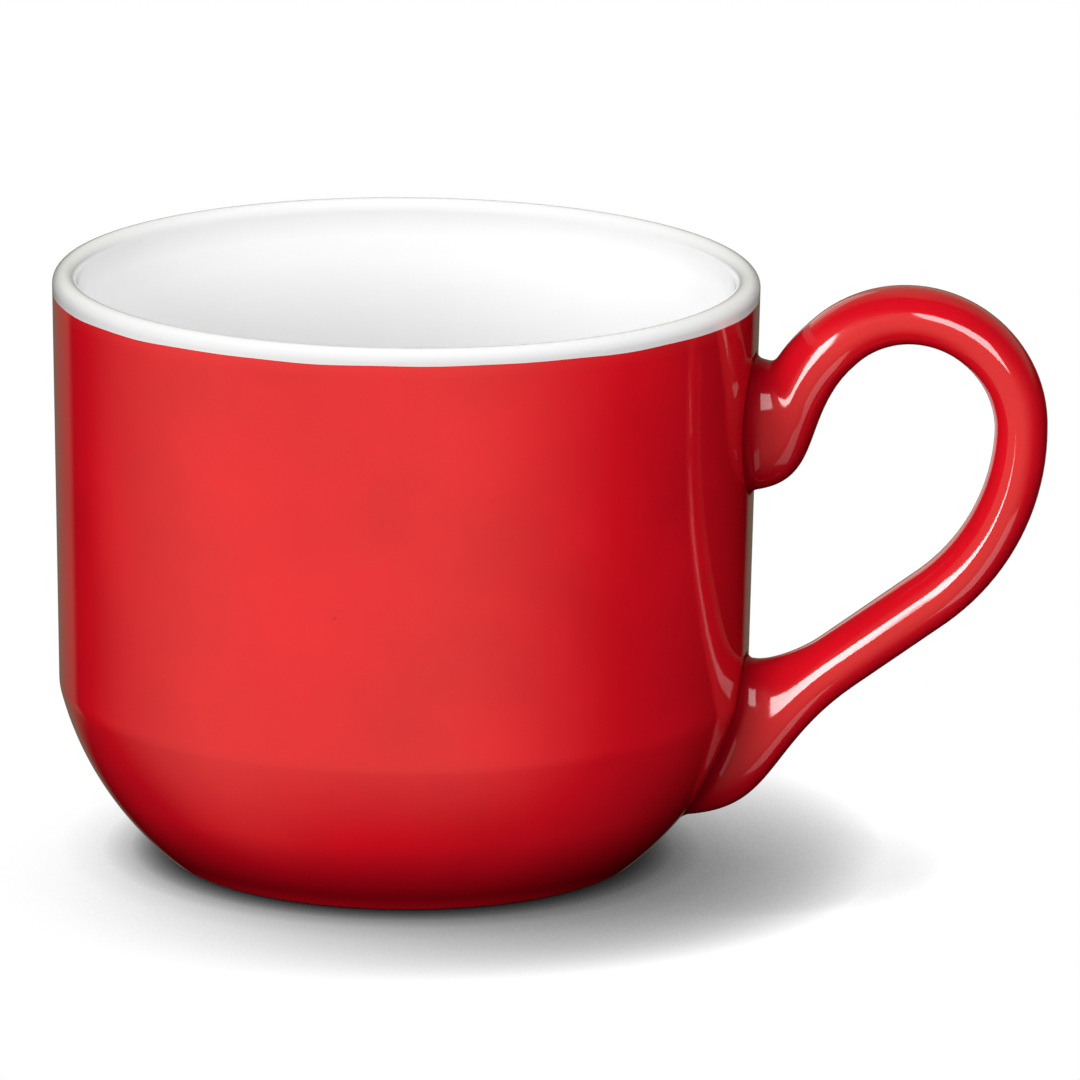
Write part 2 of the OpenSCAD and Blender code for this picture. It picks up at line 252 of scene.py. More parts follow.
def arc(centre, radius, start, end, count):
    return [centre + radius * outward(mix(start, end, t)) for t in steps(count)]


def line(start, end, count):
    return [mix(start, end, t) for t in steps(count)]


class CupProfile:
    """Half section of the cup, worked out from its settings"""

    def __init__(self, cup):
        self.cup = cup
        lean, shoulder, foot = cup.wall_lean, cup.shoulder_angle, cup.foot_angle
        self.lip_radius = cup.wall / 2
        self.lip_centre = Vector((cup.rim_diameter / 2 - self.lip_radius, cup.height - self.lip_radius))
        self.lip_side = self.lip_centre + self.lip_radius * outward(lean)
        foot_radius = cup.foot_diameter / 2
        turn_rise = cup.shoulder_radius * (math.sin(shoulder) - math.sin(lean))
        turn_rise += cup.foot_edge * (1 - math.sin(foot))
        rise_share = math.sin(foot) - math.sin(shoulder)
        run_share = math.cos(shoulder) - math.cos(foot) - math.tan(lean) * rise_share
        run = self.lip_side.x - math.tan(lean) * (self.lip_side.y - turn_rise)
        run -= cup.shoulder_radius * (math.cos(lean) - math.cos(shoulder))
        run -= cup.foot_edge * math.cos(foot) + foot_radius
        self.bowl_radius = run / run_share
        self.shoulder_height = turn_rise + self.bowl_radius * rise_share
        self.foot_centre = Vector((foot_radius, cup.foot_edge))
        self.bowl_centre = self.foot_centre - (self.bowl_radius - cup.foot_edge) * outward(foot)
        shoulder_gap = self.bowl_radius - cup.shoulder_radius
        self.shoulder_centre = self.bowl_centre + shoulder_gap * outward(shoulder)
        blend_gap = self.bowl_radius - cup.wall - cup.floor_blend
        blend_drop = self.bowl_centre.y - cup.floor_height - cup.floor_blend
        self.blend_angle = math.asin(blend_drop / blend_gap)
        self.blend_centre = self.bowl_centre + blend_gap * outward(self.blend_angle)

    def radius_at(self, z):
        """Radius of the finished outside at a height."""
        if z > self.shoulder_height:
            return self.lip_side.x - math.tan(self.cup.wall_lean) * (self.lip_side.y - z)
        centre, radius = self.bowl_centre, self.bowl_radius
        if z > self.shoulder_centre.y - self.cup.shoulder_radius * math.sin(self.cup.shoulder_angle):
            centre, radius = self.shoulder_centre, self.cup.shoulder_radius
        return centre.x + math.sqrt(radius ** 2 - (z - centre.y) ** 2)

    def wall_x(self, y, z):
        """Distance of the outside from the axis along the handle's direction."""
        return math.sqrt(self.radius_at(z) ** 2 - y ** 2)

    def wall_point(self, z, depth):
        """Point of the side wall at a height, a depth under its outside."""
        radius = self.radius_at(z) - depth / math.cos(self.cup.wall_lean)
        return Vector((radius, z))

    def lower_outside(self, depth, film, bottom, count):
        """From a height at the foot's edge up to the top of the shoulder."""
        cup = self.cup
        edge = cup.foot_edge + film - depth
        points = arc(
            self.foot_centre, edge, math.asin((cup.foot_edge - bottom) / edge), cup.foot_angle, count // 2
        )
        for t in steps(2 * count)[1:]:
            turn = mix(cup.foot_angle, cup.shoulder_angle, t)
            reach = self.bowl_radius - depth + film * max(0, 1 - 4 * t)
            points.append(self.bowl_centre + reach * outward(turn))
        points += arc(
            self.shoulder_centre, cup.shoulder_radius - depth, cup.shoulder_angle, cup.wall_lean, count // 2
        )[1:]
        return points

    def inside(self, depth, count):
        """From the axis on the floor up to the lip's inner side, a depth into the wall."""
        cup = self.cup
        blend = cup.floor_blend + depth
        into = cup.wall - depth
        floor_end = self.blend_centre - Vector((0, blend))
        points = line(Vector((0, floor_end.y)), floor_end, count // 2)
        points += arc(self.blend_centre, blend, math.pi / 2, self.blend_angle, count)[1:]
        points += arc(
            self.bowl_centre, self.bowl_radius - into, self.blend_angle, cup.shoulder_angle, count
        )[1:]
        points += arc(
            self.shoulder_centre, cup.shoulder_radius - into, cup.shoulder_angle, cup.wall_lean, count // 2
        )[1:]
        wall_top = self.lip_centre - (self.lip_radius - depth) * outward(cup.wall_lean)
        points += line(points[-1], wall_top, count)[1:]
        return points

    def lip(self, depth, count):
        """Over the lip from its inner side to its outer side."""
        lean = self.cup.wall_lean
        return arc(self.lip_centre, self.lip_radius - depth, lean + math.pi, lean + 2 * math.pi, count)


class ColourLine:
    """Height of the line between the colours round the cup"""

    def __init__(self, cup):
        self.cup = cup
        rng = random.Random(7)
        self.waves = [(n, rng.uniform(0, math.tau), rng.uniform(0.4, 1)) for n in (3, 5, 8, 13, 21)]

    def height(self, turn):
        cup = self.cup
        sideways = math.sin(turn - cup.line_turn) ** 2
        ripple = sum(size * math.cos(n * turn + phase) for n, phase, size in self.waves)
        return cup.height - cup.colour_drop - cup.line_dip * sideways + cup.line_ripple * ripple


def lathe(name, profile_at, segments):
    """Closed mesh turned about the axis from a closed profile that may change with the angle."""
    rings = [profile_at(math.tau * k / segments) for k in range(segments)]
    rows = len(rings[0])
    points, index = [], {}
    for k, ring in enumerate(rings):
        turn = math.tau * k / segments
        for row, point in enumerate(ring):
            if point.x < ON_AXIS and k > 0:
                index[k, row] = index[0, row]
                continue
            index[k, row] = len(points)
            points.append((point.x * math.cos(turn), point.x * math.sin(turn), point.y))
    faces = []
    for k in range(segments):
        after = (k + 1) % segments
        for row in range(rows):
            below = (row + 1) % rows
            corners = [index[k, row], index[after, row], index[after, below], index[k, below]]
            corners = list(dict.fromkeys(corners))
            if len(corners) > 2:
                faces.append(corners)
    return smooth_piece(name, points, faces)


def smooth_piece(name, points, faces):
    """Object with smooth faces and crisp edges only where the mesh turns sharply."""
    mesh = bpy.data.meshes.new(name)
    mesh.from_pydata(points, [], faces)
    mesh.validate()
    mesh.shade_smooth()
    mesh.set_sharp_from_angle(angle=SHARP_ANGLE)
    piece = bpy.data.objects.new(name, mesh)
    bpy.context.scene.collection.objects.link(piece)
    return piece


def write_mask(piece, name, values):
    mask = piece.data.attributes.new(name, "FLOAT", "POINT")
    mask.data.foreach_set("value", values)


def curve(a, a_pull, b, b_pull, t):
    """Point on a curve that leaves a along one way and reaches b along another."""
    s = 1 - t
    return a * s ** 3 + (a + a_pull) * 3 * t * s * s + (b + b_pull) * 3 * t * t * s + b * t ** 3


def edge_pair(centre, radius, thickness, turn):
    way = around(turn)
    return centre + (radius + thickness / 2) * way, centre + (radius - thickness / 2) * way


def handle_stations(handle, profile):
    """Outer edge, inner edge and nearness to the wall along the handle, from the upper root to the lower."""
    rim = profile.cup.rim_diameter / 2
    grip = handle.thickness
    top, rise, arm = grip * handle.top_share, grip * handle.rise_share, grip * handle.arm_share
    loop = Vector((handle.reach - grip / 2 - handle.loop_radius, handle.top - top / 2 - handle.loop_radius))
    bend = loop + Vector((handle.loop_radius - handle.bend_radius, 0))
    rise_way = Vector((-math.sin(handle.rise_angle), math.cos(handle.rise_angle)))
    arm_way = Vector((math.sin(handle.arm_angle), -math.cos(handle.arm_angle)))
    bend_end = bend + handle.bend_radius * around(handle.arm_angle)
    arm_run = (bend_end.x - rim - handle.lower_root_run) / math.sin(-handle.arm_angle)

    def on_wall(z):
        return Vector((profile.radius_at(z), z))

    def out(pull):
        return Vector((pull, 0))

    upper = [on_wall(handle.upper_root_top), on_wall(handle.upper_root_top - handle.upper_root)]
    lower = [on_wall(handle.lower_root_top - handle.lower_root), on_wall(handle.lower_root_top)]
    loop_start = edge_pair(loop, handle.loop_radius, rise, handle.rise_angle)
    bend_last = edge_pair(bend, handle.bend_radius, arm, handle.arm_angle)
    arm_last = [edge + arm_run * arm_way for edge in bend_last]
    stations = []
    for t in steps(ROOT_STEPS)[:-1]:
        t *= t
        edges = [
            curve(upper[k], out(UPPER_ROOT_PULLS[k]), loop_start[k], LOOP_START_PULLS[k] * rise_way, t)
            for k in (0, 1)
        ]
        stations.append((*edges, 1 - t))
    for t in steps(LOOP_STEPS)[:-1]:
        turn = handle.rise_angle * (1 - t)
        quarter = math.pi / 2
        if turn > quarter:
            thickness = mix(top, rise, (turn - quarter) / (handle.rise_angle - quarter))
        else:
            thickness = mix(grip, top, turn / quarter)
        stations.append((*edge_pair(loop, handle.loop_radius, thickness, turn), 0))
    for t in steps(BEND_STEPS)[:-1]:
        thickness = mix(grip, arm, t)
        stations.append((*edge_pair(bend, handle.bend_radius, thickness, handle.arm_angle * t), 0))
    for t in steps(ARM_STEPS)[:-1]:
        stations.append((*[edge + t * arm_run * arm_way for edge in bend_last], 0))
    for t in steps(ROOT_STEPS):
        t = 1 - (1 - t) ** 2
        edges = [
            curve(arm_last[k], ARM_END_PULLS[k] * arm_way, lower[k], out(LOWER_ROOT_PULLS[k]), t)
            for k in (0, 1)
        ]
        stations.append((*edges, t))
    return stations


def fillet_reach(radius, distance):
    """How far a round fillet reaches along the wall, at a distance from the wall."""
    if distance >= radius:
        return 0.0
    rest = radius - max(distance, 0.0)
    return radius - math.sqrt(max(radius ** 2 - rest ** 2, 0.0))


def handle_section(station, handle, profile):
    """Points round one section and how deep each lies in the fillet at the wall."""
    outer, inner, near = station
    middle, half = (outer + inner) / 2, (outer - inner) / 2
    flare = handle.root_flare * near ** 5
    points, depths = [], []
    for k in range(handle.sides):
        turn = math.tau * k / handle.sides
        along, across = math.cos(turn), math.sin(turn)
        reach = 0.0
        if near > 0:
            radius = mix(handle.end_fillet, handle.side_fillet, across ** 2)
            edge = middle + along * half
            reach = fillet_reach(radius, edge.x - chord_radius(station, along, profile))
            depths.append(reach / radius)
        else:
            depths.append(0.0)
        y = (handle.width / 2 + flare + reach) * across
        along *= 1 + (flare + reach) / half.length
        flat = middle + along * half
        x = flat.x
        if near > 0:
            wall = profile.wall_x(y, flat.y) - handle.seat_sink
            x += near * near * (wall - chord_radius(station, along, profile))
        points.append(Vector((x, y, flat.y)))
    return points, depths


def chord_radius(station, along, profile):
    """Straight line between a root's two ends on the wall, at a share from its middle."""
    outer, inner, _ = station
    return mix(profile.radius_at(inner.y), profile.radius_at(outer.y), (along + 1) / 2)


def sheathe(name, sections, ends):
    """Closed mesh through sections of one count, with an end point beyond each end."""
    sides = len(sections[0])
    points = [point for section in sections for point in section] + list(ends)
    faces = []
    for s in range(len(sections) - 1):
        for k in range(sides):
            after = (k + 1) % sides
            faces.append((s * sides + k, (s + 1) * sides + k, (s + 1) * sides + after, s * sides + after))
    first, last = len(points) - 2, len(points) - 1
    low = (len(sections) - 1) * sides
    for k in range(sides):
        after = (k + 1) % sides
        faces.append((first, k, after))
        faces.append((last, low + after, low + k))
    return smooth_piece(name, points, faces)


# Finishes

def new_group(name, inputs, outputs):
    """Node group with named values, and its outlet."""
    group = bpy.data.node_groups.new(name, "ShaderNodeTree")
    for way, sockets in (("INPUT", inputs), ("OUTPUT", outputs)):
        for socket in sockets:
            group.interface.new_socket(name=socket, in_out=way, socket_type="NodeSocketFloat")
    return group, add_node(group, "NodeGroupOutput")


def add_node(tree, kind, **values):
    node = tree.nodes.new(kind)
    for key, value in values.items():
        if key in node.inputs:
            node.inputs[key].default_value = value
        else:
            setattr(node, key, value)
    return node


def calc(tree, operation, *values):
    """Result of one sum on sockets or numbers."""
    node = add_node(tree, "ShaderNodeMath", operation=operation)
    for socket, value in zip(node.inputs, values):
        if isinstance(value, bpy.types.NodeSocket):
            tree.links.new(value, socket)
        else:
            socket.default_value = value
    return node.outputs[0]


def noise(tree, vector, scale, detail):
    node = add_node(tree, "ShaderNodeTexNoise", Scale=scale, Detail=detail)
    tree.links.new(vector, node.inputs["Vector"])
    return node.outputs["Fac"]


def cells(tree, vector, scale):
    """Distance from the middles of scattered cells."""
    node = add_node(tree, "ShaderNodeTexVoronoi", Scale=scale)
    tree.links.new(vector, node.inputs["Vector"])
    return node.outputs["Distance"]


def stretch(tree, value, low, high, to_low, to_high):
    node = add_node(tree, "ShaderNodeMapRange")
    for key, number in (("From Min", low), ("From Max", high), ("To Min", to_low), ("To Max", to_high)):
        node.inputs[key].default_value = number
    tree.links.new(value, node.inputs["Value"])
    return node.outputs["Result"]


def blend(tree, mask, first, second, kind="MIX"):
    node = tree.nodes.new("ShaderNodeMix")
    node.data_type = "RGBA"
    node.blend_type = kind
    tree.links.new(mask, node.inputs["Factor"])
    sockets = [s for s in node.inputs if s.type == "RGBA"]
    for socket, source in zip(sockets, (first, second)):
        if isinstance(source, bpy.types.NodeSocket):
            tree.links.new(source, socket)
        else:
            socket.default_value = (*source, 1)
    return [s for s in node.outputs if s.type == "RGBA"][0]


def glaze_skin_group():
    """Unevenness of a fired gloss glaze: slow clouds, small pits, gloss and a faint ripple."""
    names = ("Clouds", "Pits", "Roughness", "Height")
    group, result = new_group("glaze_skin", (), names)
    place = add_node(group, "ShaderNodeTexCoord").outputs["Object"]
    clouds = stretch(group, noise(group, place, 45, 3), 0.3, 0.7, 0, 1)
    roughness = stretch(group, noise(group, place, 1500, 2), 0.3, 0.7, 0.055, 0.095)
    pick = stretch(group, noise(group, place, 120, 1), 0.62, 0.7, 0, 1)
    dot = stretch(group, cells(group, place, 240), 0.05, 0.09, 1, 0)
    pits = calc(group, "MULTIPLY", pick, dot)
    swell = stretch(group, noise(group, place, 70, 1), 0, 1, 0, 2.2)
    ripple = calc(group, "ADD", noise(group, place, 260, 2), swell)
    height = calc(group, "SUBTRACT", ripple, stretch(group, pits, 0, 1, 0, 0.6))
    for name, value in zip(names, (clouds, pits, roughness, height)):
        group.links.new(value, result.inputs[name])
    return group


def clay_grain_group():
    """Sandy grain of fired clay: tint, dark grains and a rough tooth."""
    names = ("Clouds", "Specks", "Roughness", "Height")
    group, result = new_group("clay_grain", (), names)
    place = add_node(group, "ShaderNodeTexCoord").outputs["Object"]
    clouds = stretch(group, noise(group, place, 160, 4), 0.3, 0.7, 0, 1)
    specks = stretch(group, cells(group, place, 900), 0.12, 0.24, 1, 0)
    tooth = noise(group, place, 2600, 3)
    roughness = stretch(group, tooth, 0.3, 0.7, 0.72, 0.9)
    for name, value in zip(names, (clouds, specks, roughness, tooth)):
        group.links.new(value, result.inputs[name])
    return group


def new_material(name):
    material = bpy.data.materials.new(name)
    material.use_nodes = True
    tree = material.node_tree
    tree.nodes.clear()
    out = add_node(tree, "ShaderNodeOutputMaterial")
    surface = add_node(tree, "ShaderNodeBsdfPrincipled")
    tree.links.new(surface.outputs[0], out.inputs["Surface"])
    return material, tree, surface


def bump(tree, height, surface, distance):
    node = add_node(tree, "ShaderNodeBump", Strength=1, Distance=distance)
    tree.links.new(height, node.inputs["Height"])
    tree.links.new(node.outputs["Normal"], surface.inputs["Normal"])


def mask_of(tree, name):
    return add_node(tree, "ShaderNodeAttribute", attribute_name=name).outputs["Fac"]


def glaze_material(name, plain, pooled_and_shade, thin):
    """Gloss glaze, deeper where it has run together and where shade is painted, paler where it is thin, and
    darker on the white lip as painted shade.
    """
    if name in bpy.data.materials:
        return bpy.data.materials[name]
    group = bpy.data.node_groups.get("glaze_skin") or glaze_skin_group()
    material, tree, surface = new_material(name)
    skin = add_node(tree, "ShaderNodeGroup", node_tree=group)
    links = tree.links
    clouds = stretch(tree, skin.outputs["Clouds"], 0, 1, 0, 0.22)
    tint = blend(tree, clouds, plain, pooled_and_shade)
    # This mask darkens the glaze where it has run together and where shade is painted at the foot, the
    # fillets and the roots
    tint = blend(tree, mask_of(tree, "pooled_and_shade"), tint, pooled_and_shade)
    # The thin mask pales thin red glaze at the colour line, and darkens the white lip's top as thin glaze
    # and painted shade
    tint = blend(tree, mask_of(tree, "thin"), tint, thin)
    tint = blend(tree, stretch(tree, skin.outputs["Pits"], 0, 1, 0, 0.35), tint, pooled_and_shade, "MULTIPLY")
    links.new(tint, surface.inputs["Base Color"])
    links.new(skin.outputs["Roughness"], surface.inputs["Roughness"])
    surface.inputs["IOR"].default_value = 1.5
    surface.inputs["Specular IOR Level"].default_value = 0.12
    surface.inputs["Coat Roughness"].default_value = 0.07
    # Where that mask is high the coat thins away, so the foot, the fillets and the roots mirror less along
    # with their painted shade
    links.new(stretch(tree, mask_of(tree, "pooled_and_shade"), 0, 1, 0.76, 0), surface.inputs["Coat Weight"])
    bump(tree, skin.outputs["Height"], surface, GLAZE_RIPPLE)
    return material


def clay_material(name, plain, speck):
    """Dry fired clay with dark grains."""
    if name in bpy.data.materials:
        return bpy.data.materials[name]
    group = bpy.data.node_groups.get("clay_grain") or clay_grain_group()
    material, tree, surface = new_material(name)
    grain = add_node(tree, "ShaderNodeGroup", node_tree=group)
    tint = blend(tree, stretch(tree, grain.outputs["Clouds"], 0, 1, 0, 0.3), plain, speck)
    tint = blend(tree, stretch(tree, grain.outputs["Specks"], 0, 1, 0, 0.6), tint, speck)
    tree.links.new(tint, surface.inputs["Base Color"])
    tree.links.new(grain.outputs["Roughness"], surface.inputs["Roughness"])
    surface.inputs["Specular IOR Level"].default_value = 0.3
    bump(tree, grain.outputs["Height"], surface, CLAY_TOOTH)
    return material


def red_glaze(glaze):
    return glaze_material("red_gloss", glaze.red, glaze.red_pooled_and_shade, glaze.red_thin)


def white_glaze(glaze):
    return glaze_material("white_gloss", glaze.white, glaze.white_pooled, glaze.white_thin_and_shade)


def finish_piece(piece, material, node):
    piece.data.materials.append(material)
    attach(piece, "root")
    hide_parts(node)


def finish_node(node, material):
    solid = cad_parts[node]
    solid.data.materials.clear()
    solid.data.materials.append(material)


# Pieces

class MUG_OT_liner_glaze(bpy.types.Operator):
    """White glaze inside the cup and over the lip"""

    bl_idname = "mug.liner_glaze"
    bl_label = "White liner glaze"

    def execute(self, context):
        mug = context.scene.soup_mug
        profile = CupProfile(mug.cup)
        edge = ColourLine(mug.cup)
        cup = mug.cup
        shown = profile.inside(0, SHOWN_STEPS) + profile.lip(0, SHOWN_LIP_STEPS)[1:]
        hidden = profile.inside(cup.glaze, HIDDEN_STEPS) + profile.lip(cup.glaze, HIDDEN_LIP_STEPS)[1:]
        hidden.reverse()

        def profile_at(turn):
            z = edge.height(turn)
            outside = line(shown[-1], profile.wall_point(z, 0), SHOWN_HEM_STEPS)[1:]
            under = line(profile.wall_point(z, cup.glaze), hidden[0], HIDDEN_HEM_STEPS)[:-1]
            return shown + outside + under + hidden

        piece = lathe("liner_glaze_coat", profile_at, cup.segments)
        # The lip's top is darkened as thin white glaze and as painted shade
        lip_start = cup.height - cup.lip_fade
        thin = [max(0.0, (vertex.co.z - lip_start) / cup.lip_fade) for vertex in piece.data.vertices]
        write_mask(piece, "thin", [min(1.0, LIP_THIN_SHADE_GAIN * value) for value in thin])
        finish_piece(piece, white_glaze(mug.glaze), "liner_glaze")
        return {"FINISHED"}


class MUG_OT_outer_glaze(bpy.types.Operator):
    """Red glaze outside, from the colour line to the foot"""

    bl_idname = "mug.outer_glaze"
    bl_label = "Red outer glaze"

    def execute(self, context):
        mug = context.scene.soup_mug
        cup = mug.cup
        profile = CupProfile(cup)
        edge = ColourLine(cup)
        shown = profile.lower_outside(0, cup.foot_film, cup.foot_margin, SHOWN_STEPS)
        hidden = profile.lower_outside(cup.glaze, 0, cup.bare_foot, HIDDEN_STEPS)
        hidden.reverse()

        def profile_at(turn):
            z = edge.height(turn)
            wall = line(shown[-1], profile.wall_point(z, 0), SHOWN_WALL_STEPS)[1:]
            under = line(profile.wall_point(z, cup.glaze), hidden[0], HIDDEN_WALL_STEPS)[:-1]
            return shown + wall + under + hidden

        piece = lathe("outer_glaze_coat", profile_at, cup.segments)
        thin, pooled_and_shade = [], []
        for vertex in piece.data.vertices:
            turn = math.atan2(vertex.co.y, vertex.co.x)
            gap = edge.height(turn) - vertex.co.z
            thin.append(max(0.0, 1 - gap / cup.line_fade) * LINE_THIN_SHARE)
            # Darker towards the foot: glaze run together, and painted shade of the bowl's underside
            depth = min(1.0, max(0.0, FOOT_POOL_SHADE_GAIN * (1 - vertex.co.z / cup.pool_shade_height)))
            pooled_and_shade.append(depth * min(1.0, FOOT_FILM_SHARE + vertex.co.z / cup.film_height))
        write_mask(piece, "thin", thin)
        write_mask(piece, "pooled_and_shade", pooled_and_shade)
        finish_piece(piece, red_glaze(mug.glaze), "outer_glaze")
        return {"FINISHED"}


class MUG_OT_handle_glaze(bpy.types.Operator):
    """Red glaze round the handle, with soft fillets where the roots meet the cup"""

    bl_idname = "mug.handle_glaze"
    bl_label = "Red handle glaze"

    def execute(self, context):
        mug = context.scene.soup_mug
        profile = CupProfile(mug.cup)
        stations = handle_stations(mug.handle, profile)
        sections, pooled_and_shade = [], []
        for station in stations:
            points, depths = handle_section(station, mug.handle, profile)
            sections.append(points)
            near = station[2]
            # Darker in the fillets as glaze run together and painted shade, and over the roots and their
            # seats as a painted shadow of the cup
            pooled_and_shade += [max(min(1.0, FILLET_POOL_SHADE_GAIN * depth), ROOT_SHADE_SHARE * near) for depth in depths]
        ends = []
        for section in (sections[0], sections[-1]):
            middle = sum(section, Vector()) / len(section)
            middle.x = profile.wall_x(middle.y, middle.z) - mug.cup.glaze / 2
            ends.append(middle)
        piece = sheathe("handle_glaze_coat", sections, ends)
        write_mask(piece, "pooled_and_shade", pooled_and_shade + [SEAT_SHADE_SHARE] * len(ends))
        finish_piece(piece, red_glaze(mug.glaze), "handle_glaze")
        return {"FINISHED"}


class MUG_OT_base_glaze(bpy.types.Operator):
    """Red glaze in the recess under the cup"""

    bl_idname = "mug.base_glaze"
    bl_label = "Red base glaze"

    def execute(self, context):
        finish_node("base_glaze", red_glaze(context.scene.soup_mug.glaze))
        return {"FINISHED"}


class MUG_OT_clay(bpy.types.Operator):
    """Fired clay of the cup and the handle, and the slip under the roots"""

    bl_idname = "mug.clay"
    bl_label = "Clay and slip"

    def execute(self, context):
        glaze = context.scene.soup_mug.glaze
        for node in ("stoneware_body", "handle"):
            finish_node(node, clay_material("fired_clay", glaze.clay, glaze.clay_speck))
        for node in ("upper_slip_joint", "lower_slip_joint"):
            finish_node(node, clay_material("fired_slip", glaze.slip, glaze.clay_speck))
        return {"FINISHED"}


# Stage

def place_camera(stage):
    """Camera at the photo's angle."""
    rise = stage.camera_rise
    ahead = Vector((0, math.cos(rise), -math.sin(rise)))
    side = Vector((1, 0, 0))
    up = side.cross(ahead)
    eye = Vector((0, 0, stage.aim_height)) - stage.camera_distance * ahead
    yaw = Matrix.Rotation(stage.aim_yaw, 3, up)
    ahead, side = yaw @ ahead, yaw @ side
    pitch = Matrix.Rotation(stage.aim_pitch, 3, side)
    ahead, up = pitch @ ahead, pitch @ up
    roll = Matrix.Rotation(stage.aim_roll, 3, ahead)
    side, up = roll @ side, roll @ up
    turn = Matrix.Rotation(stage.camera_turn, 3, "Z")
    axes = Matrix((turn @ side, turn @ up, turn @ -ahead)).transposed()
    data = bpy.data.cameras.new("photo_camera")
    data.sensor_width = 36
    data.lens = stage.lens
    camera = bpy.data.objects.new("photo_camera", data)
    camera.matrix_world = Matrix.Translation(turn @ eye) @ axes.to_4x4()
    bpy.context.scene.collection.objects.link(camera)
    bpy.context.scene.camera = camera


def place_lamp(name, turn, watts, heading, rise, distance, width, height, piece=None, gloss=False, spin=0):
    """Soft lamp for the mug or one piece. Heading 0 is over the camera, and positive is to its right."""
    data = bpy.data.lights.new(name, "AREA")
    data.shape = "RECTANGLE"
    data.size, data.size_y = width, height
    data.energy = watts
    lamp = bpy.data.objects.new(name, data)
    heading, rise = math.radians(heading), math.radians(rise)
    back = Vector((math.sin(heading) * math.cos(rise), -math.cos(heading) * math.cos(rise), math.sin(rise)))
    back = Matrix.Rotation(turn, 3, "Z") @ back
    lamp.location = LAMP_AIM + distance * back
    lamp.rotation_mode = "QUATERNION"
    lamp.rotation_quaternion = (-back).to_track_quat("-Z", "Y") @ Quaternion((0, 0, 1), math.radians(spin))
    lamp.visible_glossy = gloss
    lamp.visible_diffuse = not gloss
    bpy.context.scene.collection.objects.link(lamp)
    if piece:
        lit = bpy.data.collections.new(name + "_lights")
        lit.objects.link(bpy.data.objects[piece])
        lamp.light_linking.receiver_collection = lit


def shade_of(tree, lean, heading, reach, depth):
    """How open the floor is to light from one side, nought where the mug stands close."""
    across, up = math.sin(lean), math.cos(lean)
    side = add_node(
        tree, "ShaderNodeCombineXYZ", X=across * math.sin(heading), Y=-across * math.cos(heading), Z=up
    )
    shade = add_node(tree, "ShaderNodeAmbientOcclusion", samples=8, Distance=reach)
    tree.links.new(side.outputs[0], shade.inputs["Normal"])
    return calc(tree, "POWER", shade.outputs["AO"], depth)


def place_floor(stage):
    """Pale floor with the mug's soft shadow. The gloss mirrors the studio and not the floor."""
    half = FLOOR_HALF
    points = [(-half, -half), (half, -half), (half, half), (-half, half)]
    mesh = bpy.data.meshes.new("floor")
    mesh.from_pydata([(x, y, -FLOOR_GAP) for x, y in points], [], [(0, 1, 2, 3)])
    floor = bpy.data.objects.new("floor", mesh)
    bpy.context.scene.collection.objects.link(floor)
    material = bpy.data.materials.new("floor_paint")
    material.use_nodes = True
    tree = material.node_tree
    tree.nodes.clear()
    out = add_node(tree, "ShaderNodeOutputMaterial")
    path = add_node(tree, "ShaderNodeLightPath")
    paint = add_node(tree, "ShaderNodeBsdfDiffuse")
    paint.inputs["Color"].default_value = (0.05, 0.05, 0.05, 1)
    seen = add_node(tree, "ShaderNodeEmission")
    light = shade_of(tree, CAST_LEAN, stage.camera_turn + CAST_HEADING, *CAST_SHADE)
    for contact in CONTACT_SHADES:
        light = calc(tree, "MULTIPLY", light, shade_of(tree, 0, 0, *contact))
    tree.links.new(light, seen.inputs["Strength"])
    either = add_node(tree, "ShaderNodeMixShader")
    tree.links.new(path.outputs["Is Camera Ray"], either.inputs[0])
    tree.links.new(paint.outputs[0], either.inputs[1])
    tree.links.new(seen.outputs[0], either.inputs[2])
    tree.links.new(either.outputs[0], out.inputs["Surface"])
    mesh.materials.append(material)
    floor.visible_glossy = False
    floor.visible_shadow = False


def soft_box_group():
    """Mask of a soft-edged box in the studio, by heading and rise in degrees."""
    names = ("Heading", "Rise", "Left", "Right", "Low", "High", "Side Edge", "Level Edge")
    group, result = new_group("soft_box", names, ("Mask",))
    given = add_node(group, "NodeGroupInput").outputs

    def side(upper, lower, edge):
        """Rises softly from nought to one where the upper value passes the lower one."""
        gap = calc(group, "DIVIDE", calc(group, "SUBTRACT", given[upper], given[lower]), given[edge])
        ease = add_node(group, "ShaderNodeMapRange", interpolation_type="SMOOTHSTEP")
        ease.inputs["From Min"].default_value = -0.5
        ease.inputs["From Max"].default_value = 0.5
        group.links.new(gap, ease.inputs["Value"])
        return ease.outputs["Result"]

    def both(first, second):
        return calc(group, "MULTIPLY", first, second)

    across = both(side("Heading", "Left", "Side Edge"), side("Right", "Heading", "Side Edge"))
    upright = both(side("Rise", "Low", "Level Edge"), side("High", "Rise", "Level Edge"))
    group.links.new(both(across, upright), result.inputs["Mask"])
    return group


